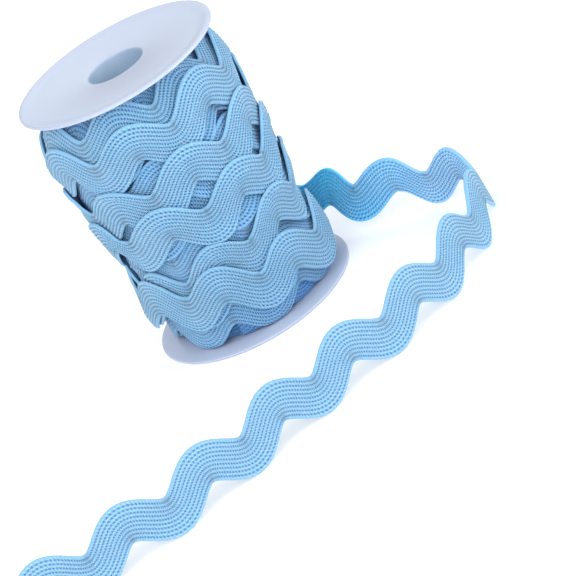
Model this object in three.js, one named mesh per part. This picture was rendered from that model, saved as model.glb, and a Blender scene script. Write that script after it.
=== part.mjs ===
// A roll of wide ric rac trim on its moulded plastic spool, standing on the lower flange. The trim is wound
// from the top flange down in wavy turns that lap one over the other, and its loose end leaves the back of
// the roll, comes round on its right side and runs across the front, standing on its edge.
//
// Millimetres and degrees, +Z up. Azimuths are counted about the spool's axis from the front, which is -Y,
// and grow towards +X.

import * as THREE from 'three';

// Driving dimensions.
const SPOOL = {
  height: 80,
  flangeRadius: 29,
  flangeThickness: 1.3,
  coreRadius: 10.5,
  boreRadius: 8,
  beadWidth: 2.6,
  beadHeight: 0.3,
  edgeRound: 0.4,
  sides: 64,
};
const TAPE = { width: 10.9, thickness: 1.2, swing: 3.0 };
const CLEARANCE = 0.3;

const WINDING = { sides: 96, rows: 38, wave: 24, edgeBlend: 0.6 };

// How many tape thicknesses each edge of an outer turn rides above the inner turns.
const LAP = { lowerEdge: 1, upperEdge: 2 };

// Where the loose end lies on the roll before it leaves, between two azimuths and up to a height, the turns
// under it are pressed in to this radius.
const PRESSED = { from: 94, to: 175, top: 24, radius: 28.52 };

// How far the inner turns reach at each height: the roll is full near the lower flange and above its middle.
const FULLNESS = [
  { height: 2, radius: 26.0 },
  { height: 12, radius: 26.9 },
  { height: 26, radius: 25.0 },
  { height: 40, radius: 25.8 },
  { height: 54, radius: 26.7 },
  { height: 68, radius: 25.6 },
  { height: 78, radius: 24.8 },
];

// The outermost length of tape, laid from the top down. Each row is a point of its run: the azimuth counted
// on from turn to turn, the waves laid by then (a whole number is a crest), and the height of its middle.
const OUTER_TAPE = [
  { azimuth: 150, wave: -3.4, height: 72.5 },
  { azimuth: -17, wave: 0, height: 72.5 },
  { azimuth: -324, wave: 6, height: 66.2 },
  { azimuth: -374, wave: 7, height: 64.3 },
  { azimuth: -422, wave: 8, height: 63.9 },
  { azimuth: -664, wave: 13, height: 52.8 },
  { azimuth: -714, wave: 14, height: 51.7 },
  { azimuth: -763, wave: 15, height: 48.8 },
  { azimuth: -1004, wave: 20, height: 42.7 },
  { azimuth: -1054, wave: 21, height: 39.8 },
  { azimuth: -1102, wave: 22, height: 39.6 },
  { azimuth: -1146, wave: 23, height: 39.0 },
  { azimuth: -1400, wave: 28, height: 26.4 },
  { azimuth: -1448, wave: 29, height: 23.1 },
  { azimuth: -1495, wave: 30, height: 20.1 },
  { azimuth: -1767, wave: 36, height: 14.0 },
  { azimuth: -1814, wave: 37, height: 17.3 },
  { azimuth: -1861, wave: 38, height: 18.2 },
  { azimuth: -2012, wave: 41, height: 14.3 },
];

// The loose end's run in plan, counted in waves from where it clears the roll's right side. The foot is how
// high the lowest points of its edge ride: on the lower flange's rim at first, then on the surface. The
// lean is in degrees away from the spool, and below zero it is towards it.
const LOOSE_END = [
  { wave: -0.5, x: 24.5, y: 16.3, foot: 4.9, lean: 8 },
  { wave: 0, x: 29.3, y: 7.2, foot: 2.6, lean: 27 },
  { wave: 0.5, x: 37.3, y: -0.4, foot: 2.9, lean: 16 },
  { wave: 1, x: 48.9, y: -6.2, foot: 1.9, lean: 3 },
  { wave: 1.5, x: 57.1, y: -11.3, foot: 0.9, lean: 0 },
  { wave: 2, x: 64.9, y: -17.9, foot: 0.5, lean: 0 },
  { wave: 2.5, x: 67.9, y: -28.5, foot: 0.3, lean: -1 },
  { wave: 3, x: 65.7, y: -38.6, foot: 0.2, lean: -4 },
  { wave: 3.5, x: 60.4, y: -48.4, foot: 0.15, lean: -7 },
  { wave: 4, x: 54.3, y: -56.5, foot: 0.15, lean: -9 },
  { wave: 5, x: 36.6, y: -70.5, foot: 0.15, lean: -9 },
  { wave: 6, x: 14.4, y: -79.9, foot: 0.15, lean: -9 },
  { wave: 7, x: -8.1, y: -88.4, foot: 0.15, lean: -9 },
  { wave: 8, x: -31.0, y: -97.2, foot: 0.15, lean: -9 },
  { wave: 9, x: -55.0, y: -103.3, foot: 0.15, lean: -9 },
  { wave: 10, x: -78.4, y: -106.6, foot: 0.15, lean: -9 },
  { wave: 11, x: -101.5, y: -108.6, foot: 0.15, lean: -9 },
];
const LOOSE_SHEET = { lastWave: 10.5, wrapAngle: 20, wrapRadius: 29.3, stepsPerWave: 12 };

// How much of a rib's slant the edges of the loose end take up. The inner edge of a crest folds over itself
// where the slant times its tightness reaches 1.
const SLANT = { full: 0.88, foldLimit: 0.96 };

const material = (color, roughness) => new THREE.MeshStandardMaterial({ color, roughness, metalness: 0 });
const MILKY_PLASTIC = material(0xd3deea, 0.42);
const WOVEN_BLUE = material(0x7eafd5, 0.85);

// The value of one column of a table at any place along another, on a smooth curve through its rows.
function smoothAt(rows, along, column, place) {
  const rising = rows[rows.length - 1][along] > rows[0][along];
  const ordered = rising ? rows : [...rows].reverse();
  const last = ordered.length - 1;
  const slope = (a, b) => (b[column] - a[column]) / (b[along] - a[along]);
  const tangent = (i) => slope(ordered[Math.max(i - 1, 0)], ordered[Math.min(i + 1, last)]);
  const next = ordered.findIndex((row) => row[along] > place);
  const right = next < 0 ? last : Math.max(next, 1);
  const from = ordered[right - 1];
  const to = ordered[right];
  const span = to[along] - from[along];
  const t = THREE.MathUtils.clamp((place - from[along]) / span, 0, 1);
  const fromWeight = (1 + 2 * t) * (1 - t) ** 2;
  const toWeight = t * t * (3 - 2 * t);
  const bend = t * (1 - t) ** 2 * tangent(right - 1) - t * t * (1 - t) * tangent(right);
  return fromWeight * from[column] + toWeight * to[column] + span * bend;
}

// A closed profile turned about the Z axis. Its points are [radius, height] and run anticlockwise.
function turned(profile, sides) {
  const points = profile.map(([radius, height]) => new THREE.Vector2(radius, height));
  points.push(points[0].clone());
  return new THREE.LatheGeometry(points, sides).rotateX(Math.PI / 2);
}

// One moulding: two round flanges on a tube, open right through for a spindle. Each flange stands on a raised
// bead round its rim, and its face inside the bead is set back.
function spool() {
  const { height, flangeRadius, flangeThickness, coreRadius, boreRadius, beadWidth } = SPOOL;
  const { beadHeight, edgeRound, sides } = SPOOL;
  const soften = edgeRound * (1 - Math.SQRT1_2);
  const mouthRadius = boreRadius + edgeRound;
  const beadInner = flangeRadius - beadWidth;
  const lowerHalf = [
    [boreRadius, beadHeight + edgeRound],
    [mouthRadius, beadHeight],
    [beadInner, beadHeight],
    [beadInner + beadHeight, 0],
    [flangeRadius - edgeRound, 0],
    [flangeRadius - soften, soften],
    [flangeRadius, edgeRound],
    [flangeRadius, flangeThickness - edgeRound],
    [flangeRadius - soften, flangeThickness - soften],
    [flangeRadius - edgeRound, flangeThickness],
    [coreRadius, flangeThickness],
  ];
  const upperHalf = lowerHalf.map(([radius, level]) => [radius, height - level]).reverse();
  return new THREE.Mesh(turned([...lowerHalf, ...upperHalf], sides), MILKY_PLASTIC);
}

// How far the wound tape reaches at a place. Every turn of the outer tape lies on the one above it, so its
// upper edge rides higher than its lower edge.
function windingRadius(azimuth, height) {
  const inner = smoothAt(FULLNESS, 'height', 'radius', height);
  const first = OUTER_TAPE[0].azimuth;
  const last = OUTER_TAPE[OUTER_TAPE.length - 1].azimuth;
  let reach = inner;
  for (let laid = azimuth; laid >= last; laid -= 360) {
    if (laid > first) {
      continue;
    }
    const phase = 2 * Math.PI * smoothAt(OUTER_TAPE, 'azimuth', 'wave', laid);
    const middle = smoothAt(OUTER_TAPE, 'azimuth', 'height', laid) + TAPE.swing * Math.cos(phase);
    const slope = ((2 * Math.PI * TAPE.swing) / WINDING.wave) * Math.sin(phase);
    const halfWidth = (TAPE.width / 2) * Math.hypot(1, slope);
    const inside = halfWidth - Math.abs(height - middle);
    const cover = THREE.MathUtils.smoothstep(inside, -WINDING.edgeBlend, WINDING.edgeBlend);
    const upward = THREE.MathUtils.clamp((height - middle) / halfWidth, -1, 1);
    const lap = THREE.MathUtils.mapLinear(upward, -1, 1, LAP.lowerEdge, LAP.upperEdge);
    reach = Math.max(reach, inner + TAPE.thickness * lap * cover);
  }
  const pressed = azimuth > PRESSED.from && azimuth < PRESSED.to && height < PRESSED.top;
  return pressed ? Math.min(reach, PRESSED.radius) : reach;
}

// The wound tape as one ring about the tube, with the wavy outer turns in its relief.
function winding() {
  const bottom = SPOOL.flangeThickness + CLEARANCE;
  const top = SPOOL.height - bottom;
  const inner = SPOOL.coreRadius + CLEARANCE;
  const plain = FULLNESS[0].radius;
  const outerWall = Array.from({ length: WINDING.rows + 1 }, (_, row) => {
    return [plain, THREE.MathUtils.lerp(bottom, top, row / WINDING.rows)];
  });
  const geometry = turned([[inner, bottom], ...outerWall, [inner, top]], WINDING.sides);
  const place = geometry.attributes.position;
  for (let i = 0; i < place.count; i += 1) {
    const [x, y, z] = [place.getX(i), place.getY(i), place.getZ(i)];
    if (Math.hypot(x, y) > (inner + plain) / 2) {
      const azimuth = Math.round(THREE.MathUtils.radToDeg(Math.atan2(x, -y)) * 100) / 100;
      const stretch = windingRadius(azimuth, z) / Math.hypot(x, y);
      place.setXY(i, x * stretch, y * stretch);
    }
  }
  return new THREE.Mesh(geometry, WOVEN_BLUE);
}

// Where the loose end's middle line stands in plan at a count of waves. Before the first row of its table it
// lies round the roll.
function looseEndPlan(wave) {
  const [first] = LOOSE_END;
  if (wave >= first.wave) {
    const x = smoothAt(LOOSE_END, 'wave', 'x', wave);
    const y = smoothAt(LOOSE_END, 'wave', 'y', wave);
    return new THREE.Vector2(x, y);
  }
  const { wrapRadius } = LOOSE_SHEET;
  const leaving = Math.atan2(first.x, -first.y);
  const angle = leaving + ((first.wave - wave) * WINDING.wave) / wrapRadius;
  return new THREE.Vector2(wrapRadius * Math.sin(angle), -wrapRadius * Math.cos(angle));
}

// A point of the loose end: waves along it, a distance across it from its middle line, and one through it.
// It leans back, away from the spool, where it leaves the roll, and the other way across the front.
function looseEndPoint(wave, across, through) {
  const step = 0.01;
  const ahead = looseEndPlan(wave + step).sub(looseEndPlan(wave - step)).divideScalar(2 * step);
  const waveLength = ahead.length();
  const turn = (2 * Math.PI) / waveLength;
  const slope = -turn * TAPE.swing * Math.sin(2 * Math.PI * wave);
  const tightness = (TAPE.width / 2) * TAPE.swing * turn * turn;
  const lean = Math.min(SLANT.full, SLANT.foldLimit / tightness);
  const shift = (-across * slope * lean) / Math.hypot(1, slope);
  const rise = across / Math.hypot(1, slope);
  const plan = looseEndPlan(wave + shift / waveLength);
  const sideways = new THREE.Vector2(ahead.y, -ahead.x).normalize();
  const held = THREE.MathUtils.clamp(2 * (wave + 1), 0, 1);
  const leaning = THREE.MathUtils.degToRad(held * smoothAt(LOOSE_END, 'wave', 'lean', wave));
  const foot = smoothAt(LOOSE_END, 'wave', 'foot', wave);
  const risen = TAPE.width / 2 + TAPE.swing * (1 + Math.cos(2 * Math.PI * wave)) + rise;
  plan.addScaledVector(sideways, through * Math.cos(leaning) - risen * Math.sin(leaning));
  return new THREE.Vector3(plan.x, plan.y, foot + risen * Math.cos(leaning) + through * Math.sin(leaning));
}

// The loose end: a flat strip bent into its waves, standing on its edge.
function looseEnd() {
  const { lastWave, wrapAngle, wrapRadius, stepsPerWave } = LOOSE_SHEET;
  const wrapped = THREE.MathUtils.degToRad(wrapAngle) * wrapRadius;
  const firstWave = LOOSE_END[0].wave - wrapped / WINDING.wave;
  const waves = lastWave - firstWave;
  const steps = Math.round(waves * stepsPerWave);
  const geometry = new THREE.BoxGeometry(waves, TAPE.width, TAPE.thickness, steps, 2, 1);
  const place = geometry.attributes.position;
  for (let i = 0; i < place.count; i += 1) {
    const wave = firstWave + waves / 2 + place.getX(i);
    const point = looseEndPoint(wave, place.getY(i), place.getZ(i));
    place.setXYZ(i, point.x, point.y, point.z);
  }
  return new THREE.Mesh(geometry, WOVEN_BLUE);
}

const named = (mesh, name) => Object.assign(mesh, { name });

const roll = new THREE.Group();
roll.add(named(spool(), 'spool'), named(winding(), 'winding'), named(looseEnd(), 'loose_end'));

// The origin is on the surface, under the middle of the box round the roll and its loose end.
const reach = new THREE.Box3().setFromObject(roll, true);
const centre = reach.getCenter(new THREE.Vector3());
roll.position.set(-centre.x, -centre.y, -reach.min.z);

const part = new THREE.Group();
part.add(roll);
part.updateMatrixWorld(true);

export default part;
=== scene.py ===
"""Dresses a roll of wide ric rac trim: its moulded spool, its wavy lapped turns and its loose end.

Sizes are in millimetres about the spool's axis until a mesh is made, which is in metres in the frame.
Azimuths are in degrees from the front, which is -Y, and grow towards +X.
"""

from __future__ import annotations

import logging
import math
from dataclasses import dataclass
from enum import Enum
from typing import NamedTuple

import bpy
import numpy as np
from mathutils import Matrix, Vector

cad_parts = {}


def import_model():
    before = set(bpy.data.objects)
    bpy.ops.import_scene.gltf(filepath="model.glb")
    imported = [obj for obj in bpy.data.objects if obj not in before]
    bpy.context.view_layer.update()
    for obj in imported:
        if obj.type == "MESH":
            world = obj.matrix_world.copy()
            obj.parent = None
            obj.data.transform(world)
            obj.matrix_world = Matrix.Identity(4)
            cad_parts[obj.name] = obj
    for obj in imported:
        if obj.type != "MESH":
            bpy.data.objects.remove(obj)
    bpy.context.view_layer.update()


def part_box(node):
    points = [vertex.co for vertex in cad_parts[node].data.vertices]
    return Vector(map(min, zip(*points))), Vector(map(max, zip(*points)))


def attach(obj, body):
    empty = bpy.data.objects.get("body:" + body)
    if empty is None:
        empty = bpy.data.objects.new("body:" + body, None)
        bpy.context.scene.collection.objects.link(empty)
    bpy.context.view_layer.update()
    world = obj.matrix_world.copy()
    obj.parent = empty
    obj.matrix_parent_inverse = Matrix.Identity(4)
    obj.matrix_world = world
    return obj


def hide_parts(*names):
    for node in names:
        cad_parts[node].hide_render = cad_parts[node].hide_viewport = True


log = logging.getLogger("ric_rac")

MM = 0.001
TURN = 360.0
RANDOM_SEED = 7


class Slot(Enum):
    """The record's material slots."""

    PLASTIC = "moulded_plastic"
    TRIM = "woven_trim"


@dataclass(frozen=True)
class Tape:
    """The ric rac itself: one flat braid of ribs, woven in even waves."""

    width: float = 10.9
    thickness: float = 1.2
    swing: float = 3.0
    ribs: int = 10
    groove: float = 0.2
    rib_crown: float = 0.7
    edge_round: float = 0.45
    edge_fall: float = 0.6
    full_slant: float = 0.88
    fold_limit: float = 0.96

    @property
    def rib_pitch(self) -> float:
        """Distance from one rib to the next, across the tape."""
        return self.width / self.ribs

    def woven(self, waves: np.ndarray, way: np.ndarray, across: np.ndarray) -> tuple[np.ndarray, ...]:
        """Works out how the braid lies on a run of waves.

        Args:
            waves: The steps along the run, in waves.
            way: The length of a wave along the run at each step.
            across: Places across the tape.

        Returns:
            How steep the braid is at each step, the wave at which each place across it lies, and how far
            along the braid each step is.
        """
        turn = 2 * np.pi / way
        slope = -turn * self.swing * np.sin(2 * np.pi * waves)
        slant = np.minimum(self.full_slant, self.fold_limit / (self.width / 2 * self.swing * turn**2))
        steep = np.hypot(1, slope)
        shift = -across[None, :] * (slope * slant / steep)[:, None]
        along = np.concatenate([[0], np.cumsum((way * steep)[1:] * np.diff(waves))])
        return steep, waves[:, None] + shift / way[:, None], along


LOOSE_TAPE = Tape()
WOUND_TAPE = Tape(width=11.4, swing=3.25)


class Fullness(NamedTuple):
    """How far the inner turns reach at one height of the roll."""

    height: float
    radius: float


INNER_TURNS = (
    Fullness(2, 21.0),
    Fullness(8, 20.6),
    Fullness(13, 19.9),
    Fullness(17, 18.8),
    Fullness(21, 18.3),
    Fullness(26, 20.0),
    Fullness(31, 22.2),
    Fullness(36, 22.3),
    Fullness(40, 22.3),
    Fullness(54, 23.1),
    Fullness(60, 21.6),
    Fullness(68, 19.6),
    Fullness(78, 18.2),
)


class Bulge(NamedTuple):
    """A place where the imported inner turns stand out, or lie in where `out` is below nothing."""

    azimuth: float
    height: float
    out: float
    spread: float
    rise: float


BULGES = (
    Bulge(80, 13, 2.3, 45, 7),
    Bulge(-92, 36, -0.6, 25, 6),
    Bulge(-108, 71, -1.0, 22, 6),
)


class Laid(NamedTuple):
    """A point of a wound tape's run: azimuth counted on from turn to turn, waves laid, middle height."""

    azimuth: float
    wave: float
    height: float


DEEP_RUN = (
    Laid(340, 0, 66.0),
    Laid(-20, 7, 66.0),
    Laid(-380, 14, 60.0),
    Laid(-740, 21, 48.0),
    Laid(-1100, 28, 35.8),
    Laid(-1460, 35, 23.4),
    Laid(-1820, 42, 10.4),
    Laid(-2180, 48.5, 7.8),
)
MIDDLE_RUN = (
    Laid(341.3, -7, 9.3),
    Laid(-18.7, 0, 9.3),
    Laid(-368, 7, 16.6),
    Laid(-728, 14, 28.5),
    Laid(-1088, 21, 40.1),
    Laid(-1448, 28, 51.6),
    Laid(-1808, 35, 64.6),
    Laid(-2010, 39, 71.4),
    Laid(-2160, 42, 72.6),
    Laid(-2260, 44, 72.6),
)
OUTER_RUN = (
    Laid(150, -3.4, 70.8),
    Laid(-17, 0, 70.6),
    Laid(-324, 6, 66.2),
    Laid(-374, 7, 64.3),
    Laid(-422, 8, 63.9),
    Laid(-664, 13, 52.8),
    Laid(-714, 14, 51.7),
    Laid(-763, 15, 48.8),
    Laid(-1004, 20, 42.7),
    Laid(-1054, 21, 39.8),
    Laid(-1102, 22, 39.6),
    Laid(-1129, 22.5, 38.9),
    Laid(-1149, 23, 38.7),
    Laid(-1178, 23.5, 36.2),
    Laid(-1400, 28, 26.4),
    Laid(-1448, 29, 23.1),
    Laid(-1495, 30, 20.1),
    Laid(-1717, 35, 12.6),
    Laid(-1767, 36, 13.3),
    Laid(-1790.5, 36.5, 15.3),
    Laid(-1814, 37, 16.7),
    Laid(-1861, 38, 18.0),
    Laid(-2012.9, 41, 13.35),
)


class Loose(NamedTuple):
    """A point of the loose end's run: waves along it, place in plan, how high its foot rides, its lean."""

    wave: float
    x: float
    y: float
    foot: float
    lean: float = 0.0


LOOSE_RUN = (
    Loose(-0.5, 24.5, 16.3, 4.9, 8),
    Loose(0, 29.3, 7.2, 2.6, 27),
    Loose(0.5, 37.3, -0.4, 2.9, 16),
    Loose(1, 48.9, -6.2, 1.9, 3),
    Loose(1.5, 57.1, -11.3, 0.9, 0),
    Loose(2, 64.9, -17.9, 0.5, 0),
    Loose(2.5, 67.9, -28.5, 0.3, -1),
    Loose(3, 65.7, -38.6, 0.2, -4),
    Loose(3.5, 60.4, -48.4, 0.15, -7),
    Loose(4, 54.3, -56.5, 0.15, -9),
    Loose(5, 36.6, -70.5, 0.15, -9),
    Loose(6, 14.4, -79.9, 0.15, -9),
    Loose(7, -8.1, -88.4, 0.15, -9),
    Loose(8, -31.0, -97.2, 0.15, -9),
    Loose(9, -55.0, -103.3, 0.15, -9),
    Loose(10, -78.4, -106.6, 0.15, -9),
    Loose(11, -101.5, -108.6, 0.15, -9),
)


def linear(hex_colour: str) -> tuple[float, float, float, float]:
    """Turns an sRGB hex value into the linear colour that shaders take.

    Args:
        hex_colour: Six hex digits after a hash.

    Returns:
        Red, green, blue and an alpha of 1.
    """
    channels = [int(hex_colour[i : i + 2], 16) / 255 for i in (1, 3, 5)]
    turned = [c / 12.92 if c <= 0.04045 else ((c + 0.055) / 1.055) ** 2.4 for c in channels]
    return (*turned, 1.0)


def smooth_at(rows: tuple[NamedTuple, ...], along: str, column: str, place: np.ndarray) -> np.ndarray:
    """Reads one column of a table at any places along another, on a smooth curve through its rows.

    Args:
        rows: The table, rising or falling in the column that is followed.
        along: The column that is followed.
        column: The column that is read.
        place: Where to read it.

    Returns:
        The values, held at the ends of the table.
    """
    keys = np.array([getattr(row, along) for row in rows], float)
    values = np.array([getattr(row, column) for row in rows], float)
    if keys[0] > keys[-1]:
        keys, values = keys[::-1], values[::-1]
    before = np.maximum(np.arange(len(keys)) - 1, 0)
    after = np.minimum(np.arange(len(keys)) + 1, len(keys) - 1)
    tangents = (values[after] - values[before]) / (keys[after] - keys[before])
    right = np.clip(np.searchsorted(keys, place, side="right"), 1, len(keys) - 1)
    left = right - 1
    span = keys[right] - keys[left]
    t = np.clip((place - keys[left]) / span, 0, 1)
    bend = t * (1 - t) ** 2 * tangents[left] - t * t * (1 - t) * tangents[right]
    start = (1 + 2 * t) * (1 - t) ** 2 * values[left]
    end = t * t * (3 - 2 * t) * values[right]
    return start + end + span * bend


def blurred(field: np.ndarray, reach: int, axis: int, passes: int = 3) -> np.ndarray:
    """Softens a field of heights by running means, which come close to a bell curve.

    Args:
        field: The heights.
        reach: How many samples each side take part.
        axis: The axis to soften along.
        passes: How many times it is done.

    Returns:
        The softened heights.
    """
    if reach < 1:
        return field
    kernel = np.ones(2 * reach + 1) / (2 * reach + 1)
    for _ in range(passes):
        pad = [(0, 0), (0, 0)]
        pad[axis] = (reach, reach)
        padded = np.pad(field, pad, mode="edge")
        field = np.apply_along_axis(np.convolve, axis, padded, kernel, mode="valid")
    return field


def refined(field: np.ndarray, fine: int) -> np.ndarray:
    """Adds samples between the rows of a field.

    Args:
        field: The field.
        fine: How many steps each step becomes.

    Returns:
        The finer field.
    """
    rows = np.linspace(0, len(field) - 1, (len(field) - 1) * fine + 1)
    low = np.floor(rows).astype(int)
    high = np.minimum(low + 1, len(field) - 1)
    share = (rows - low)[:, None]
    return field[low] * (1 - share) + field[high] * share


def highest_near(field: np.ndarray, reach: int, axis: int) -> np.ndarray:
    """Gives each sample the highest value near it.

    Args:
        field: The heights.
        reach: How many samples each side take part.
        axis: The axis to look along.

    Returns:
        The highest values.
    """
    found = field.copy()
    size = field.shape[axis]
    for step in range(1, reach + 1):
        for sign in (-step, step):
            index = np.clip(np.arange(size) + sign, 0, size - 1)
            found = np.maximum(found, np.take(field, index, axis=axis))
    return found


def inner_reach(azimuth: np.ndarray, height: np.ndarray) -> np.ndarray:
    """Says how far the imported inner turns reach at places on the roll.

    Args:
        azimuth: The places' azimuths.
        height: Their heights.

    Returns:
        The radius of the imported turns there.
    """
    reach = smooth_at(INNER_TURNS, "height", "radius", height)
    for bulge in BULGES:
        side = (azimuth - bulge.azimuth + TURN / 2) % TURN - TURN / 2
        reach = reach + bulge.out * np.exp(
            -((side / bulge.spread) ** 2) - ((height - bulge.height) / bulge.rise) ** 2
        )
    return reach


@dataclass(frozen=True)
class Section:
    """The tape's cross-section as a closed loop: places across it and heights above its mid-plane."""

    tape: Tape
    steps_per_rib: int = 3
    ribbed_back: bool = False

    def loop(self) -> tuple[np.ndarray, np.ndarray]:
        """Gives the loop's places across and heights, front face first.

        Returns:
            Places across the tape and heights above its mid-plane, in millimetres.
        """
        front_across, front_height = self._face(self.steps_per_rib)
        back_steps = self.steps_per_rib if self.ribbed_back else 1
        back_across, back_height = self._face(back_steps)
        across = np.concatenate([front_across, back_across[::-1]])
        height = np.concatenate([front_height, -back_height[::-1]])
        return across, height

    def _face(self, steps: int) -> tuple[np.ndarray, np.ndarray]:
        """Lays out one face, with a groove between each two ribs.

        Args:
            steps: Points for each rib, or 1 for a plain face.

        Returns:
            Places across the tape and heights above its mid-plane.
        """
        tape = self.tape
        share = np.linspace(0, 1, tape.ribs * steps + 1)
        across = (share - 0.5) * tape.width
        rounded = np.abs(np.sin(np.pi * share * tape.ribs)) ** tape.rib_crown
        relief = tape.groove * (rounded - 1) if steps > 1 else -tape.groove * np.ones_like(share)
        to_edge = np.minimum(share, 1 - share) * tape.width
        fall = np.clip(1 - to_edge / tape.edge_round, 0, 1) ** 2
        height = (tape.thickness / 2 + relief) * (1 - tape.edge_fall * fall)
        return across, height


@dataclass(frozen=True)
class Strip:
    """A length of tape that is ready to be made a mesh: one row of points for each step along it."""

    name: str
    middle: np.ndarray
    outward: np.ndarray
    along: np.ndarray
    across: np.ndarray
    height: np.ndarray
    centre: tuple[float, float]

    def build(self) -> bpy.types.Object:
        """Makes the closed mesh, and marks the points on the tape's front.

        Returns:
            The new object, with its place in its mesh.
        """
        points = self.middle + self.outward * self.height[None, :, None]
        points = points + np.array([*self.centre, 0.0])
        steps, around = points.shape[:2]
        ring = np.arange(around)
        beside = np.roll(ring, -1)
        row = np.arange(steps - 1)[:, None] * around
        quads = np.stack([row + ring, row + beside, row + around + beside, row + around + ring], -1)
        ends = [list(ring[::-1]), list((steps - 1) * around + ring)]
        faces = quads.reshape(-1, 4).tolist() + ends
        along = np.repeat(self.along, around)
        piece = new_piece(self.name, points, faces, along, np.tile(self.across, steps))
        side = piece.data.attributes.new("front_side", "FLOAT", "POINT")
        side.data.foreach_set("value", np.tile(self.height > 0, steps).astype(np.float32))
        return piece


def new_piece(
    name: str, points: np.ndarray, faces: list[list[int]], along: np.ndarray, across: np.ndarray
) -> bpy.types.Object:
    """Makes a closed piece, with a UV map in millimetres along and across the tape.

    Args:
        name: The piece's name.
        points: Its points, in millimetres.
        faces: The points' numbers round each face.
        along: How far along the tape each point is.
        across: How far across the tape each point is.

    Returns:
        The new object, with its place in its mesh.
    """
    mesh = bpy.data.meshes.new(name)
    mesh.from_pydata((points * MM).reshape(-1, 3).tolist(), [], faces)
    layer = mesh.uv_layers.new(name="braid")
    corner = np.zeros(len(mesh.loops), np.int32)
    mesh.loops.foreach_get("vertex_index", corner)
    places = np.stack([along[corner], across[corner]], -1)
    layer.data.foreach_set("uv", places.astype(np.float32).ravel())
    mesh.validate()
    piece = bpy.data.objects.new(name, mesh)
    bpy.context.scene.collection.objects.link(piece)
    finish_surface(piece)
    return piece


def select_only(piece: bpy.types.Object) -> None:
    """Makes one object the only selected and the active one.

    Args:
        piece: The object.
    """
    bpy.ops.object.select_all(action="DESELECT")
    piece.select_set(True)
    bpy.context.view_layer.objects.active = piece


def finish_surface(piece: bpy.types.Object, angle: float = 50.0) -> None:
    """Turns a closed piece's faces outwards and shades it smooth but for sharp edges.

    Args:
        piece: The piece.
        angle: The angle in degrees past which an edge stays sharp.
    """
    select_only(piece)
    bpy.ops.object.mode_set(mode="EDIT")
    bpy.ops.mesh.select_all(action="SELECT")
    bpy.ops.mesh.normals_make_consistent(inside=False)
    bpy.ops.object.mode_set(mode="OBJECT")
    bpy.ops.object.shade_smooth_by_angle(angle=math.radians(angle))
    piece.select_set(False)


class StackMap:
    """How high the tape already wound reaches, on a grid round the roll and up it."""

    columns = 360
    row_height = 0.4
    finer_along = 5
    finer_across = 2

    def __init__(self, bottom: float, top: float) -> None:
        """Starts from the inner turns.

        Args:
            bottom: The lowest height that tape may take.
            top: The highest height that tape may take.
        """
        self.bottom = bottom
        self.top = top
        self.rows = int((top - bottom) / self.row_height) + 2
        heights = bottom + np.arange(self.rows) * self.row_height
        self.reach = inner_reach(np.arange(self.columns)[:, None], heights[None, :])

    def _grid(self, azimuth: np.ndarray, height: np.ndarray) -> tuple[np.ndarray, np.ndarray]:
        """Finds places on the roll in the map.

        Args:
            azimuth: The places' azimuths.
            height: Their heights.

        Returns:
            Their columns and rows, with the part between two of them.
        """
        column = np.mod(azimuth, TURN) / TURN * self.columns
        row = np.clip((height - self.bottom) / self.row_height, 0, self.rows - 1.001)
        return column, row

    def at(self, azimuth: np.ndarray, height: np.ndarray) -> np.ndarray:
        """Reads how far out the wound tape reaches at places on the roll.

        Args:
            azimuth: The places' azimuths.
            height: Their heights.

        Returns:
            The radius there.
        """
        column, row = self._grid(azimuth, height)
        c0 = np.floor(column).astype(int)
        r0 = np.floor(row).astype(int)
        fc, fr = column - c0, row - r0
        c0, c1 = c0 % self.columns, (c0 + 1) % self.columns
        low = self.reach[c0, r0] * (1 - fc) + self.reach[c1, r0] * fc
        high = self.reach[c0, r0 + 1] * (1 - fc) + self.reach[c1, r0 + 1] * fc
        return low * (1 - fr) + high * fr

    def cover(self, azimuth: np.ndarray, height: np.ndarray, radius: np.ndarray) -> None:
        """Raises the map to a tape's outer face, given as rows of points along and across it.

        Args:
            azimuth: The points' azimuths.
            height: Their heights.
            radius: Their radii.
        """
        fields = (azimuth, height, radius)
        between = [refined(refined(f, self.finer_along).T, self.finer_across).T for f in fields]
        column, row = self._grid(between[0], between[1])
        index = (np.round(column).astype(int) % self.columns, np.round(row).astype(int))
        np.maximum.at(self.reach, index, between[2])


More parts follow.
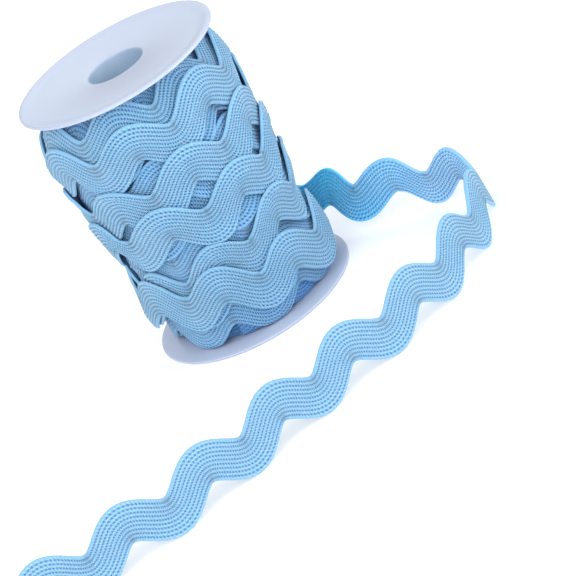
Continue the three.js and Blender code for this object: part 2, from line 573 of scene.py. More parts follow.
@dataclass(frozen=True)
class Winding:
    """One length of tape wound on the roll, lying on whatever is under it."""

    name: str
    run: tuple[Laid, ...]
    steps_per_wave: int
    section: Section
    mean_radius: float = 27.5
    lift: float = 0.04
    flange_give: float = 0.6
    drape_along: float = 3.0
    drape_across: float = 0.9
    stiffness: float = 0.75
    seen_beyond: float = 8.0
    lag_waves: float = 2.5
    waver: float = 0.22
    waver_lengths: tuple[float, ...] = (61.0, 37.0, 19.0)
    waver_tilt: float = 0.08
    leaves_at: float = 0.0
    lifting_waves: float = 1.6

    def lay(self, stack: StackMap, centre: tuple[float, float]) -> Strip:
        """Lays the tape chunk by chunk, each part on the map of what is wound, and raises the map.

        Args:
            stack: The map of what is already wound.
            centre: The spool's axis in the frame's plan, in millimetres.

        Returns:
            The strip, ready to be made a mesh.
        """
        tape = self.section.tape
        first, last = self.run[0].wave, self.run[-1].wave
        waves = np.linspace(first, last, int(abs(last - first) * self.steps_per_wave) + 1)
        face = np.linspace(-tape.width / 2, tape.width / 2, 2 * tape.ribs + 1)
        azimuth, height, along = self._places(waves, face, stack)
        radius = np.zeros_like(azimuth)
        step_length = np.median(np.diff(along))
        chunk, lag = self.steps_per_wave, int(self.steps_per_wave * self.lag_waves)
        pad = int(self.seen_beyond / step_length)
        covered = 0
        for start in range(0, len(waves) + lag + chunk, chunk):
            ready = min(max(start - lag, 0), len(waves))
            if ready - covered > 1:
                done = slice(covered, ready)
                stack.cover(azimuth[done], height[done], radius[done] + tape.thickness / 2)
                covered = ready - 1
            if start >= len(waves):
                continue
            stop = min(start + chunk, len(waves))
            behind = max(start - pad, 0)
            seen = slice(behind, min(stop + pad, len(waves)))
            support = stack.at(azimuth[seen], height[seen])
            part = self._draped(support, step_length, face[1] - face[0])
            radius[start:stop] = part[start - behind : stop - behind]
        return self._strip(waves, face, radius, stack, centre)

    def _places(self, waves: np.ndarray, across: np.ndarray, stack: StackMap) -> tuple[np.ndarray, ...]:
        """Finds points across the tape at each step of its run, squeezed in between the flanges.

        Args:
            waves: The steps, in waves.
            across: Places across the tape.
            stack: The map, for the flanges' heights.

        Returns:
            The points' azimuths and heights, and how far along the tape each step is.
        """
        tape = self.section.tape
        azimuth = smooth_at(self.run, "wave", "azimuth", waves)
        way = np.abs(np.gradient(azimuth, waves)) * np.pi / 180 * self.mean_radius
        steep, shifted, along = tape.woven(waves, way, across)
        place = smooth_at(self.run, "wave", "azimuth", shifted)
        middle = smooth_at(self.run, "wave", "height", waves) + tape.swing * np.cos(2 * np.pi * waves)
        level = middle[:, None] + across[None, :] / steep[:, None]
        give = self.flange_give
        level = stack.bottom + np.logaddexp(0, (level - stack.bottom) / give) * give
        level = stack.top - np.logaddexp(0, (stack.top - level) / give) * give
        return place, level, along

    def _draped(self, support: np.ndarray, along_step: float, across_step: float) -> np.ndarray:
        """Lies a stiffish tape on its support, so that it bridges steps and hollows.

        Args:
            support: How high what is under the tape reaches, at each point.
            along_step: Distance between samples along the tape.
            across_step: Distance between samples across the tape.

        Returns:
            The radius of the tape's mid-plane at each point.
        """
        along = max(1, round(self.drape_along / along_step))
        across = max(1, round(self.drape_across / across_step))
        bridged = highest_near(highest_near(support, along, 0), across, 1)
        bridged = bridged * self.stiffness + support * (1 - self.stiffness)
        soft = blurred(blurred(bridged, along, 0), across, 1)
        return np.maximum(soft, support) + self.section.tape.thickness / 2 + self.lift

    def _strip(
        self,
        waves: np.ndarray,
        face: np.ndarray,
        radius: np.ndarray,
        stack: StackMap,
        centre: tuple[float, float],
    ) -> Strip:
        """Puts the cross-section's loop on the laid tape.

        Args:
            waves: The steps, in waves.
            face: Places across the tape at which it was laid.
            radius: The mid-plane's radius at each of them and each step.
            stack: The map, for the flanges' heights.
            centre: The spool's axis in the frame's plan, in millimetres.

        Returns:
            The strip, ready to be made a mesh.
        """
        across, thick = self.section.loop()
        azimuth, height, along = self._places(waves, across, stack)
        position = np.interp(across, face, np.arange(len(face)))
        low = np.clip(np.floor(position).astype(int), 0, len(face) - 2)
        share = position - low
        lying = radius[:, low] * (1 - share) + radius[:, low + 1] * share
        lying = lying + self.waver * self._unevenness(along, across)
        if self.leaves_at:
            to_go = np.clip((waves[-1] - waves) / self.lifting_waves, 0, 1)
            freed = (1 - to_go) ** 2 * (1 + 2 * to_go)
            lying = lying + (self.leaves_at - lying) * freed[:, None]
        angle = np.radians(azimuth)
        outward = np.stack([np.sin(angle), -np.cos(angle), np.zeros_like(angle)], -1)
        middle = outward * lying[..., None]
        middle[..., 2] = height
        return Strip(self.name, middle, outward, along, across, thick, centre)

    def _unevenness(self, along: np.ndarray, across: np.ndarray) -> np.ndarray:
        """Makes a slow waver of the tape's height, as hand winding leaves it.

        Args:
            along: How far along the tape each step is.
            across: Places across the tape.

        Returns:
            The waver at each step and place, from 0 to 1.
        """
        draw = np.random.default_rng(RANDOM_SEED + len(self.name))
        waver = np.zeros((len(along), len(across)))
        for length in self.waver_lengths:
            lag, tilt = draw.uniform(0, 2 * np.pi), draw.uniform(-self.waver_tilt, self.waver_tilt)
            waver += np.sin(2 * np.pi * (along[:, None] / length + across[None, :] * tilt) + lag)
        return (waver / len(self.waver_lengths) + 1) / 2


@dataclass(frozen=True)
class LooseEnd:
    """The free end of the tape, standing on its edge."""

    section: Section
    first_wave: float = -1.0
    last_wave: float = 10.5
    steps_per_wave: int = 28
    wrap_radius: float = 29.3
    wrap_wave: float = 24.0

    def plan(self, wave: np.ndarray) -> np.ndarray:
        """Finds the middle line in plan, round the roll at first and free after that.

        Args:
            wave: Where along the run, in waves.

        Returns:
            The places in plan about the spool's axis.
        """
        first = LOOSE_RUN[0]
        leaving = math.atan2(first.x, -first.y)
        angle = leaving + (first.wave - wave) * self.wrap_wave / self.wrap_radius
        wrapped = self.wrap_radius * np.stack([np.sin(angle), -np.cos(angle)], -1)
        free = np.stack([smooth_at(LOOSE_RUN, "wave", key, wave) for key in ("x", "y")], -1)
        return np.where((wave < first.wave)[..., None], wrapped, free)

    def strip(self, centre: tuple[float, float]) -> Strip:
        """Bends the flat tape along its run, at the lean that each place of the run has.

        Args:
            centre: The spool's axis in the frame's plan, in millimetres.

        Returns:
            The strip, ready to be made a mesh.
        """
        tape = self.section.tape
        steps = int((self.last_wave - self.first_wave) * self.steps_per_wave) + 1
        waves = np.linspace(self.first_wave, self.last_wave, steps)
        across, thick = self.section.loop()
        nudge = 0.01
        ahead = (self.plan(waves + nudge) - self.plan(waves - nudge)) / (2 * nudge)
        way = np.hypot(ahead[:, 0], ahead[:, 1])
        steep, shifted, along = tape.woven(waves, way, across)
        foot = smooth_at(LOOSE_RUN, "wave", "foot", waves)
        middle = tape.width / 2 + tape.swing * (1 + np.cos(2 * np.pi * waves))
        risen = middle[:, None] + across[None, :] / steep[:, None]
        sideways = np.stack([ahead[:, 1], -ahead[:, 0]], -1) / way[:, None]
        freed = (waves - self.first_wave) / (LOOSE_RUN[0].wave - self.first_wave)
        lean = np.radians(smooth_at(LOOSE_RUN, "wave", "lean", waves)) * np.clip(freed, 0, 1)
        place = self.plan(shifted)
        place = place - sideways[:, None, :] * (risen * np.sin(lean)[:, None])[..., None]
        level = foot[:, None] + risen * np.cos(lean)[:, None]
        facing = np.concatenate([sideways * np.cos(lean)[:, None], np.sin(lean)[:, None]], -1)
        outward = np.repeat(facing[:, None, :], len(across), axis=1)
        points = np.concatenate([place, level[..., None]], -1)
        return Strip("loose_tape", points, outward, along, across, thick, centre)

    def flat_size(self, strip: Strip) -> tuple[float, float, float]:
        """Works out the cut size of the tape laid flat: its width over the waves, length and area.

        Args:
            strip: The bent strip.

        Returns:
            Width and length in metres, and the tape's own area in square metres.
        """
        tape = self.section.tape
        width = tape.width + 2 * tape.swing
        waves = np.linspace(self.first_wave, self.last_wave, 2000)
        path = self.plan(waves)
        length = np.hypot(*np.diff(path, axis=0).T).sum()
        area = strip.along[-1] * tape.width
        return width * MM, length * MM, area * MM * MM


def add_node(
    tree: bpy.types.NodeTree, kind: str, feeds: dict[str | int, object] | None = None, **settings: object
) -> bpy.types.Node:
    """Adds a shader node with its settings, and its inputs' values or links.

    Args:
        tree: The material's node tree.
        kind: The node's type.
        feeds: For each input, by name or number, a value, a socket that feeds it, or a node whose first
            output in use feeds it.
        **settings: The node's own settings.

    Returns:
        The new node.
    """
    node = tree.nodes.new(kind)
    for key, value in settings.items():
        setattr(node, key, value)
    for key, value in (feeds or {}).items():
        if isinstance(value, bpy.types.Node):
            value = next(output for output in value.outputs if output.enabled)
        if isinstance(value, bpy.types.NodeSocket):
            tree.links.new(value, node.inputs[key])
        else:
            node.inputs[key].default_value = value
    return node


def new_material(name: str) -> tuple[bpy.types.Material, bpy.types.NodeTree]:
    """Makes a node material that is still empty.

    Args:
        name: The material's name.

    Returns:
        The material and its node tree.
    """
    material = bpy.data.materials.new(name)
    material.use_nodes = True
    material.node_tree.nodes.clear()
    return material, material.node_tree


class PaintedLightStop(NamedTuple):
    """The colour of the tape's front at one distance along it, with the light that falls there painted in.
    """

    along: float
    colour: str


@dataclass(frozen=True)
class BraidedPolyester:
    """Dyed polyester ric rac braid: soft sheen, ribs along it, a slanting stitch in each rib.

    The stitches are about 0.75 mm apart, with a pinhole between ribs at each one; the grooves, the gaps
    between stitches and the pinholes are darkened with painted shade. The outermost half millimetre on each
    side is a plain selvage with an even painted shade. All of it follows the piece's UV map, in
    millimetres.
    """

    name: str
    light: str
    dark: str
    shade: str
    tape: Tape
    # Painted light on the tape's front, by distance along it.
    front: tuple[PaintedLightStop, ...] = ()
    stitch_pitch: float = 0.74
    stitch_slant: float = -1.4
    stitch_shade: float = 0.22
    stitch_rise: float = 0.28
    hole_shade: float = 0.85
    hole_sharpness: float = 1.8
    groove_shade: float = 0.22
    groove_sharpness: float = 2.2
    groove_sink: float = 0.9
    grain_rise: float = 0.35
    # Painted light: the stitches' painted shade is weakened on the front up to this far along.
    bounce_lit_until: float = 0.0
    bounce_lit_fade: float = 5.0
    bounce_lit_share: float = 0.8
    selvage: float = 0.55
    selvage_edge: float = 0.2
    selvage_shade: float = 0.22
    roughness: float = 0.68

    def build(self) -> bpy.types.Material:
        """Makes the material.

        Returns:
            The material.
        """
        material, tree = new_material(self.name)
        uv = add_node(tree, "ShaderNodeUVMap", uv_map="braid")
        axes = add_node(tree, "ShaderNodeSeparateXYZ", {"Vector": uv})
        along = axes.outputs["X"]
        braided, groove, stitch, hole = self._patterns(tree, along, axes.outputs["Y"])
        # Painted shade: the gaps between stitches, the grooves and the pinholes darken the dye towards the
        # shade colour, as shade falls in them; the selvage gets an even painted shade.
        shading: bpy.types.Node | float = self.selvage_shade
        for pattern, depth in (
            (stitch, self.stitch_shade),
            (groove, self.groove_shade),
            (hole, self.hole_shade),
            (braided, -self.selvage_shade),
        ):
            feeds = {0: pattern, 1: depth, 2: shading}
            shading = add_node(tree, "ShaderNodeMath", feeds, operation="MULTIPLY_ADD")
        if self.bounce_lit_until:
            shading = self._bounce_lit_start(tree, along, shading)
        feeds = {"Factor": shading, "A": self._dye_with_painted_light(tree, uv, along), "B": linear(self.shade)}
        feeds = {
            "Base Color": add_node(tree, "ShaderNodeMix", feeds, data_type="RGBA"),
            "Roughness": self.roughness,
            "IOR": 1.5,
            "Sheen Weight": 0.25,
            "Sheen Roughness": 0.45,
            "Subsurface Weight": 0.2,
            "Subsurface Radius": (0.3, 0.6, 1.0),
            "Subsurface Scale": 1.2 * MM,
            "Normal": self._bump(tree, groove, stitch, uv),
        }
        shader = add_node(tree, "ShaderNodeBsdfPrincipled", feeds)
        add_node(tree, "ShaderNodeOutputMaterial", {"Surface": shader})
        return material

    def _patterns(
        self, tree: bpy.types.NodeTree, along: bpy.types.NodeSocket, across: bpy.types.NodeSocket
    ) -> tuple[bpy.types.Node, ...]:
        """Draws the braid: its ribs, the grooves between them, the slanting stitches and the pinholes.

        Args:
            tree: The material's node tree.
            along: The socket that gives places along the tape.
            across: The socket that gives places across it.

        Returns:
            The nodes that give 1 inside the selvages, in the grooves, between stitches and in the pinholes.
        """
        side = add_node(tree, "ShaderNodeMath", {0: across}, operation="ABSOLUTE")
        edge = self.tape.width / 2
        feeds = {
            "Value": side,
            "From Min": edge - self.selvage,
            "From Max": edge - self.selvage_edge,
            "To Min": 1.0,
            "To Max": 0.0,
        }
        braided = add_node(tree, "ShaderNodeMapRange", feeds, interpolation_type="SMOOTHSTEP")

        by_rib = 2 * math.pi / self.tape.rib_pitch
        turns = add_node(tree, "ShaderNodeMath", {0: across, 1: by_rib}, operation="MULTIPLY")
        wave = add_node(tree, "ShaderNodeMath", {0: turns}, operation="COSINE")
        unit = add_node(tree, "ShaderNodeMapRange", {"Value": wave, "From Min": -1.0})
        sharp = add_node(tree, "ShaderNodeMath", {0: unit, 1: self.groove_sharpness}, operation="POWER")
        groove = add_node(tree, "ShaderNodeMath", {0: sharp, 1: braided}, operation="MULTIPLY")

        by_stitch = 2 * math.pi / self.stitch_pitch
        by_slant = self.stitch_slant * math.pi / self.tape.rib_pitch
        stitched = add_node(tree, "ShaderNodeMath", {0: along, 1: by_stitch}, operation="MULTIPLY")
        slanted = add_node(tree, "ShaderNodeMath", {0: across, 1: by_slant}, operation="MULTIPLY")
        both = add_node(tree, "ShaderNodeMath", {0: stitched, 1: slanted}, operation="ADD")
        wave = add_node(tree, "ShaderNodeMath", {0: both}, operation="SINE")
        unit = add_node(tree, "ShaderNodeMapRange", {"Value": wave, "From Min": -1.0})
        stitch = add_node(tree, "ShaderNodeMath", {0: unit, 1: braided}, operation="MULTIPLY")

        narrow = add_node(tree, "ShaderNodeMath", {0: stitch, 1: self.hole_sharpness}, operation="POWER")
        hole = add_node(tree, "ShaderNodeMath", {0: groove, 1: narrow}, operation="MULTIPLY")
        return braided, groove, stitch, hole

    def _dye_with_painted_light(
        self, tree: bpy.types.NodeTree, uv: bpy.types.Node, along: bpy.types.NodeSocket
    ) -> bpy.types.Node:
        """Dyes the yarn a little unevenly; the front gets painted light instead, by distance along: a deep,
        bright blue by the roll for the blue light that the roll bounces onto it, lighter through the turn.

        Args:
            tree: The material's node tree.
            uv: The node that gives places on the tape.
            along: The socket that gives places along it.

        Returns:
            The node that gives the dye.
        """
        uneven = add_node(tree, "ShaderNodeTexNoise", {"Vector": uv, "Scale": 0.09, "Detail": 3.0})
        feeds = {"Factor": uneven, "A": linear(self.light), "B": linear(self.dark)}
        dye = add_node(tree, "ShaderNodeMix", feeds, data_type="RGBA")
        if not self.front:
            return dye
        # Painted light: the front's colour follows a ramp along the tape in place of the dye, bright
        # bounced blue by the roll and lighter through the turn.
        reach = self.front[-1].along
        share = add_node(tree, "ShaderNodeMath", {0: along, 1: 1 / reach}, operation="MULTIPLY")
        ramp = add_node(tree, "ShaderNodeValToRGB", {"Fac": share})
        stops = ramp.color_ramp.elements
        while len(stops) < len(self.front):
            stops.new(0.5)
        for stop, tint in zip(stops, self.front, strict=True):
            stop.position = tint.along / reach
            stop.color = linear(tint.colour)
        side = add_node(tree, "ShaderNodeAttribute", attribute_name="front_side")
        feeds = {"Factor": side.outputs["Fac"], "A": dye, "B": ramp}
        return add_node(tree, "ShaderNodeMix", feeds, data_type="RGBA")

    def _bounce_lit_start(
        self, tree: bpy.types.NodeTree, along: bpy.types.NodeSocket, shading: bpy.types.Node
    ) -> bpy.types.Node:
        """Weakens the stitches' painted shade on the front of the tape's start, as painted light where blue
        light from the roll fills them.

        Args:
            tree: The material's node tree.
            along: The socket that gives places along the tape.
            shading: The node that gives how much painted shade the stitches, grooves and pinholes put on
                the dye.

        Returns:
            The node that gives the lessened painted shade.
        """
        feeds = {
            "Value": along,
            "From Min": self.bounce_lit_until - self.bounce_lit_fade,
            "From Max": self.bounce_lit_until + self.bounce_lit_fade,
            "To Min": -self.bounce_lit_share,
            "To Max": 0.0,
        }
        filled = add_node(tree, "ShaderNodeMapRange", feeds, interpolation_type="SMOOTHSTEP")
        side = add_node(tree, "ShaderNodeAttribute", attribute_name="front_side")
        feeds = {0: filled, 1: side.outputs["Fac"], 2: 1.0}
        kept = add_node(tree, "ShaderNodeMath", feeds, operation="MULTIPLY_ADD")
        return add_node(tree, "ShaderNodeMath", {0: shading, 1: kept}, operation="MULTIPLY")

    def _bump(
        self, tree: bpy.types.NodeTree, groove: bpy.types.Node, stitch: bpy.types.Node, uv: bpy.types.Node
    ) -> bpy.types.Node:
        """Raises the stitches and sinks the grooves, with a fine yarn grain over both.

        Args:
            tree: The material's node tree.
            groove: The node that gives the grooves.
            stitch: The node that gives the gaps between stitches.
            uv: The node that gives places on the tape.

        Returns:
            The bump node.
        """
        grain = add_node(tree, "ShaderNodeTexNoise", {"Vector": uv, "Scale": 6.0})
        height: bpy.types.Node | float = 1.0
        for pattern, rise in ((stitch, -1.0), (groove, -self.groove_sink), (grain, self.grain_rise)):
            feeds = {0: pattern, 1: rise, 2: height}
            height = add_node(tree, "ShaderNodeMath", feeds, operation="MULTIPLY_ADD")
        feeds = {"Strength": 1.0, "Distance": self.stitch_rise * MM, "Height": height}
        return add_node(tree, "ShaderNodeBump", feeds)


@dataclass(frozen=True)
class MilkyPolypropylene:
    """Injection-moulded natural polypropylene: milky, a little light passes in, fine satin skin."""

    centre: tuple[float, float]
    bore_radius: float
    name: str = "moulded_polypropylene_satin"
    colour: str = "#b5c0d4"
    tint: str = "#afbad1"
    # Painted shade inside the bore.
    bore: str = "#98aec6"
    bore_shade_from: float = 0.1
    bore_shade_to: float = 0.7
    roughness: float = 0.4

    def build(self) -> bpy.types.Material:
        """Makes the material from Object coordinates.

        The bore's wall is painted greyer and darker, as painted shade inside the bore.

        Returns:
            The material.
        """
        material, tree = new_material(self.name)
        place = add_node(tree, "ShaderNodeTexCoord").outputs["Object"]
        cloudy = add_node(tree, "ShaderNodeTexNoise", {"Vector": place, "Scale": 45.0, "Detail": 2.0})
        feeds = {"Factor": cloudy, "A": linear(self.colour), "B": linear(self.tint)}
        colour = add_node(tree, "ShaderNodeMix", feeds, data_type="RGBA")
        # Painted shade: the colour goes greyer and darker close to the bore's wall.
        axis = (self.centre[0] * MM, self.centre[1] * MM, 0)
        offset = add_node(tree, "ShaderNodeVectorMath", {0: place, 1: axis}, operation="SUBTRACT")
        in_plan = add_node(tree, "ShaderNodeVectorMath", {0: offset, 1: (1, 1, 0)}, operation="MULTIPLY")
        radius = add_node(tree, "ShaderNodeVectorMath", {0: in_plan}, operation="LENGTH")
        feeds = {
            "Value": radius,
            "From Min": (self.bore_radius + self.bore_shade_from) * MM,
            "From Max": (self.bore_radius + self.bore_shade_to) * MM,
        }
        share = add_node(tree, "ShaderNodeMapRange", feeds, interpolation_type="SMOOTHSTEP")
        feeds = {"Factor": share, "A": linear(self.bore), "B": colour}
        colour = add_node(tree, "ShaderNodeMix", feeds, data_type="RGBA")
        skin = add_node(tree, "ShaderNodeTexNoise", {"Vector": place, "Scale": 1600.0, "Detail": 2.0})
        bump = add_node(tree, "ShaderNodeBump", {"Strength": 0.15, "Distance": 0.05 * MM, "Height": skin})
        feeds = {
            "Base Color": colour,
            "Roughness": self.roughness,
            "IOR": 1.49,
            "Subsurface Weight": 0.2,
            "Subsurface Radius": (1.0, 1.0, 1.0),
            "Subsurface Scale": 1.5 * MM,
            "Normal": bump,
        }
        shader = add_node(tree, "ShaderNodeBsdfPrincipled", feeds)
        add_node(tree, "ShaderNodeOutputMaterial", {"Surface": shader})
        return material


def dress(piece: bpy.types.Object, material: bpy.types.Material) -> None:
    """Gives a piece its finish and its place on the body.

    Args:
        piece: The piece.
        material: Its material.
    """
    piece.data.materials.clear()
    piece.data.materials.append(material)
    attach(piece, "root")


@dataclass(frozen=True)
class Spool:
    """The one-piece moulding, drawn out ring by ring from the lower mouth of its bore."""

    height: float
    centre: tuple[float, float]
    flange_radius: float = 29.3
    flange: float = 1.3
    rim: float = 0.9
    core_radius: float = 10.5
    bore_radius: float = 8.0
    bead_width: float = 2.6
    bead_height: float = 0.7
    mouth_round: float = 0.8
    sides: int = 160

    def build(self) -> bpy.types.Object:
        """Makes the spool by extruding and scaling one ring, then bevels its edges.

        Returns:
            The spool.
        """
        rings = self._half()
        rings += [(radius, self.height - level) for radius, level in reversed(self._half())]
        radius, level = rings[0]
        bpy.ops.mesh.primitive_circle_add(
            vertices=self.sides, radius=radius * MM, location=(0, 0, 0), fill_type="NOTHING"
        )
        piece = bpy.context.object
        piece.name = "dressed_spool"
        bpy.ops.object.mode_set(mode="EDIT")
        bpy.ops.mesh.select_all(action="SELECT")
        bpy.ops.transform.translate(value=(0, 0, level * MM))
        for next_radius, next_level in rings[1:]:
            bpy.ops.mesh.extrude_region_move(
                TRANSFORM_OT_translate={"value": (0, 0, (next_level - level) * MM)}
            )
            share = next_radius / radius
            bpy.ops.transform.resize(value=(share, share, 1), center_override=(0, 0, 0))
            radius, level = next_radius, next_level
        self._close(piece)
        bevel = piece.modifiers.new("soft_edges", "BEVEL")
        bevel.width = 0.12 * MM
        bevel.segments = 3
        bevel.limit_method = "ANGLE"
        bevel.angle_limit = math.radians(25)
        select_only(piece)
        bpy.ops.object.modifier_apply(modifier=bevel.name)
        finish_surface(piece, 40.0)
        piece.data.transform(Matrix.Translation(Vector((*self.centre, 0)) * MM))
        return piece

    def _half(self) -> list[tuple[float, float]]:
        """Lists the lower half's rings, from the bore's mouth to the core.

        Returns:
            The rings' radii and heights.
        """
        bead_inner = self.flange_radius - self.bead_width
        ring = 0.45
        return [
            (self.bore_radius, self.bead_height + self.mouth_round),
            (self.bore_radius + 0.3 * self.mouth_round, self.bead_height + 0.3 * self.mouth_round),
            (self.bore_radius + self.mouth_round, self.bead_height),
            (bead_inner - 2.4, self.bead_height),
            (bead_inner - 0.6, self.bead_height * 0.7),
            (bead_inner + 0.6, self.bead_height * 0.2),
            (bead_inner + 1.4, 0),
            (self.flange_radius - ring, 0),
            (self.flange_radius - 0.3 * ring, 0.3 * ring),
            (self.flange_radius, ring),
            (self.flange_radius, self.rim - 0.3),
            (self.flange_radius - 0.1, self.rim - 0.1),
            (self.flange_radius - 0.3, self.rim),
            (self.flange_radius - 7.0, self.flange),
            (self.core_radius, self.flange),
        ]

    def _close(self, piece: bpy.types.Object) -> None:
        """Joins the last ring to the first along the bore.

        Args:
            piece: The spool, in edit mode.
        """
        bpy.ops.mesh.select_all(action="DESELECT")
        bpy.ops.mesh.select_mode(type="EDGE")
        bpy.ops.object.mode_set(mode="OBJECT")
        edge_limit = (self.bore_radius + 0.01) * MM
        at_bore = [vertex.co.xy.length < edge_limit for vertex in piece.data.vertices]
        for edge in piece.data.edges:
            edge.select = all(at_bore[v] for v in edge.vertices)
        bpy.ops.object.mode_set(mode="EDIT")
        bpy.ops.mesh.bridge_edge_loops()
        bpy.ops.mesh.select_mode(type="VERT")
        bpy.ops.object.mode_set(mode="OBJECT")


@dataclass(frozen=True)
class Roll:
    """Everything that is wound on the spool."""

    centre: tuple[float, float]
    spool: Spool
    clearance: float = 0.3
    core_sides: int = 180
    core_rows: int = 60
    core_under: float = 0.05
    core_fit: float = 0.1
    core_radius: float = 25.0

    def build(self) -> list[bpy.types.Object]:
        """Winds the inner body and the three visible lengths of tape, deepest first.

        Returns:
            The inner body and the wound strips.
        """
        bottom = self.spool.flange + self.clearance
        top = self.spool.height - bottom
        stack = StackMap(bottom, top)
        plain = Section(WOUND_TAPE, steps_per_rib=2)
        fine = Section(WOUND_TAPE, steps_per_rib=3)
        made = [self._core(bottom, top)]
        for winding in (
            Winding("deep_turns", DEEP_RUN, 14, plain),
            Winding("middle_turns", MIDDLE_RUN, 18, plain),
            Winding("outer_turns", OUTER_RUN, 26, fine, leaves_at=LooseEnd.wrap_radius),
        ):
            made.append(winding.lay(stack, self.centre).build())
        return made

    def _core(self, bottom: float, top: float) -> bpy.types.Object:
        """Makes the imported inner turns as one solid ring, stitched like the tape.

        Args:
            bottom: The ring's lowest height.
            top: Its highest height.

        Returns:
            The new object.
        """
        angle = np.linspace(0, 2 * np.pi, self.core_sides, endpoint=False)
        height = np.linspace(bottom, top, self.core_rows + 1)
        reach = inner_reach(np.degrees(angle)[:, None], height[None, :]) - self.core_under
        wall = np.full((self.core_sides, 1), self.spool.core_radius + self.core_fit)
        radius = np.concatenate([wall, reach, wall], axis=1)
        height = np.concatenate([[bottom], height, [top]])
        places = (
            radius * np.sin(angle)[:, None] + self.centre[0],
            -radius * np.cos(angle)[:, None] + self.centre[1],
            np.tile(height, (self.core_sides, 1)),
        )
        around = len(height)
        index = np.arange(self.core_sides * around).reshape(self.core_sides, around)
        ahead = np.roll(index, -1, axis=0)
        quads = np.stack([index, ahead, np.roll(ahead, -1, axis=1), np.roll(index, -1, axis=1)], -1)
        faces = quads.reshape(-1, 4).tolist()
        along = np.repeat(angle * self.core_radius, around)
        across = np.tile(height, self.core_sides)
        return new_piece("inner_turns", np.stack(places, -1), faces, along, across)


class Lamp(NamedTuple):
    """A square soft light: its place from the roll's middle and its side in metres, and its power."""

    name: str
    place: tuple[float, float, float]
    size: float
    power: float


LAMPS = (
    Lamp("key", (-0.4, -0.55, 0.75), 0.7, 4.1),
    Lamp("low", (-0.1, -0.95, 0.16), 1.0, 6.2),
    Lamp("fill", (0.92, -0.22, 0.35), 0.8, 5.4),
    Lamp("back", (0.1, 0.8, 0.6), 0.6, 1.5),
)


@dataclass(frozen=True)
class Studio:
    """The pale floor, the soft lights and the camera at the photograph's angle."""

    centre: tuple[float, float]
    spool_height: float
    elevation: float = 24.277
    roll: float = -30.886
    distance: float = 800.0
    right: float = 27.72
    above: float = -28.618
    pixels_per_mm: float = 3.679
    frame_pixels: int = 576
    sensor_width: float = 36.0
    floor_size: float = 6.0
    white_world: float = 0.65

    def build(self) -> None:
        """Makes the whole studio, with colours shown as they are."""
        self._floor()
        self._lights()
        self._camera()
        bpy.context.scene.view_settings.view_transform = "Standard"

    def _floor(self) -> None:
        """Lays a large matt white sheet under everything."""
        bpy.ops.mesh.primitive_plane_add(size=self.floor_size, location=(0, 0, -0.05 * MM))
        floor = bpy.context.object
        floor.name = "studio_floor"
        material, tree = new_material("matt_white_paper")
        place = add_node(tree, "ShaderNodeTexCoord").outputs["Object"]
        fibre = add_node(tree, "ShaderNodeTexNoise", {"Vector": place, "Scale": 900.0})
        bump = add_node(tree, "ShaderNodeBump", {"Strength": 0.05, "Distance": 0.05 * MM, "Height": fibre})
        feeds = {
            "Base Color": linear("#fbfcfd"),
            "Roughness": 0.95,
            "Specular IOR Level": 0.1,
            "Emission Color": (1, 1, 1, 1),
            "Emission Strength": 0.11,
            "Normal": bump,
        }
        shader = add_node(tree, "ShaderNodeBsdfPrincipled", feeds)
        add_node(tree, "ShaderNodeOutputMaterial", {"Surface": shader})
        floor.data.materials.append(material)

    def _lights(self) -> None:
        """Hangs the lamps, all turned to the roll's middle, and lights the world white."""
        world = bpy.data.worlds.new("white_studio")
        world.use_nodes = True
        background = world.node_tree.nodes["Background"]
        background.inputs["Color"].default_value = (1, 1, 1, 1)
        background.inputs["Strength"].default_value = self.white_world
        bpy.context.scene.world = world
        target = Vector((*self.centre, self.spool_height / 2)) * MM
        for lamp in LAMPS:
            data = bpy.data.lights.new(lamp.name, "AREA")
            data.size = lamp.size
            data.energy = lamp.power
            light = bpy.data.objects.new(lamp.name, data)
            light.location = Vector(lamp.place) + target
            light.rotation_euler = (target - light.location).to_track_quat("-Z", "Y").to_euler()
            bpy.context.scene.collection.objects.link(light)

    def _camera(self) -> None:
        """Sets the camera where the photograph's own was, worked out from the two flanges' outlines."""
        tilt, roll = math.radians(self.elevation), math.radians(self.roll)
        back = Vector((0, -math.cos(tilt), math.sin(tilt)))
        side = Vector((1, 0, 0))
        rise = Vector((0, math.sin(tilt), math.cos(tilt)))
        right = math.cos(roll) * side + math.sin(roll) * rise
        above = -math.sin(roll) * side + math.cos(roll) * rise
        place = Vector((*self.centre, self.spool_height / 2))
        place += back * self.distance + right * self.right + above * self.above
        data = bpy.data.cameras.new("camera")
        data.sensor_width = self.sensor_width
        data.lens = self.pixels_per_mm * self.distance / self.frame_pixels * self.sensor_width
        data.clip_start = 0.05
        data.clip_end = 20.0
        camera = bpy.data.objects.new("camera", data)
        turned = Matrix((right, above, back)).transposed().to_4x4()
        camera.matrix_world = Matrix.Translation(place * MM) @ turned
        bpy.context.scene.collection.objects.link(camera)
        bpy.context.scene.camera = camera


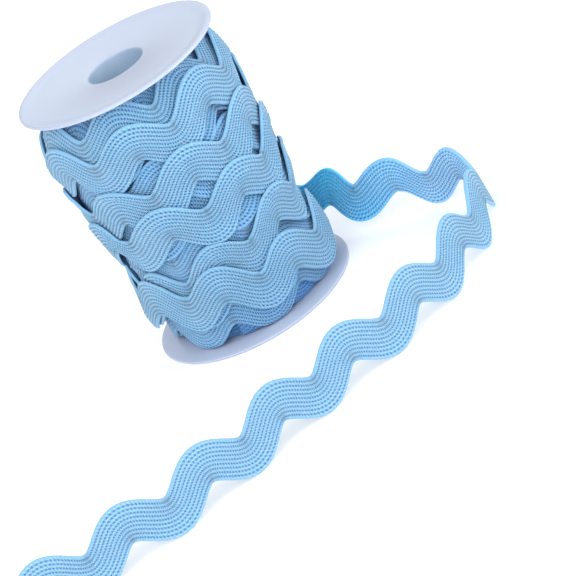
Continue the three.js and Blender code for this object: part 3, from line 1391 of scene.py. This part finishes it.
def main() -> None:
    """Builds the studio, the spool, the wound turns and the loose end."""
    logging.basicConfig(level=logging.INFO, format="%(name)s: %(message)s")
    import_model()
    low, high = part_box("spool")
    middle = (low + high) / 2 / MM
    centre = (middle.x, middle.y)
    height = high.z / MM
    Studio(centre, height).build()

    spool = Spool(height, centre)
    dressed = spool.build()
    dress(dressed, MilkyPolypropylene(centre, spool.bore_radius).build())
    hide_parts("spool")
    log.info("%s: %d faces", dressed.name, len(dressed.data.polygons))

    outer = BraidedPolyester("braided_polyester_blue", "#91c5e4", "#86bdde", "#1f69ae", WOUND_TAPE)
    # Copies of the braid for the middle and deep turns and the inner body, darker and bluer: painted shade,
    # with painted blue bounce light, in the gaps between the outer turns.
    second = BraidedPolyester("braided_polyester_middle_painted_shade", "#88c0e7", "#7db8e1", "#1a60ac", WOUND_TAPE)
    inner = BraidedPolyester("braided_polyester_deep_painted_shade", "#66a8e6", "#5a9ddd", "#124f9f", WOUND_TAPE)
    finishes = {"outer_turns": outer.build(), "middle_turns": second.build()}
    deep_shade_finish = inner.build()
    for piece in Roll(centre, spool).build():
        dress(piece, finishes.get(piece.name, deep_shade_finish))
        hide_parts("winding")
        log.info("%s: %d faces", piece.name, len(piece.data.polygons))

    loose = LooseEnd(Section(LOOSE_TAPE, steps_per_rib=3, ribbed_back=True))
    strip = loose.strip(centre)
    piece = strip.build()
    # The free end: painted light on its front by distance along it, and its stitches' painted shade
    # weakened near the roll.
    free = BraidedPolyester(
        "braided_polyester_free",
        "#98c9e4",
        "#8fc3e0",
        "#2c7cc4",
        LOOSE_TAPE,
        front=(PaintedLightStop(26, "#4cd0ff"), PaintedLightStop(64, "#a4dbff"), PaintedLightStop(110, "#a4dbff"), PaintedLightStop(150, "#98c9e4")),
        hole_shade=0.6,
        groove_shade=0.28,
        bounce_lit_until=30.0,
        selvage_shade=0.34,
    )
    dress(piece, free.build())
    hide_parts("loose_end")
    width, length, area = loose.flat_size(strip)
    log.info("%s: flat %.4f by %.4f m, area %.6f", piece.name, width, length, area)


if __name__ == "__main__":
    main()
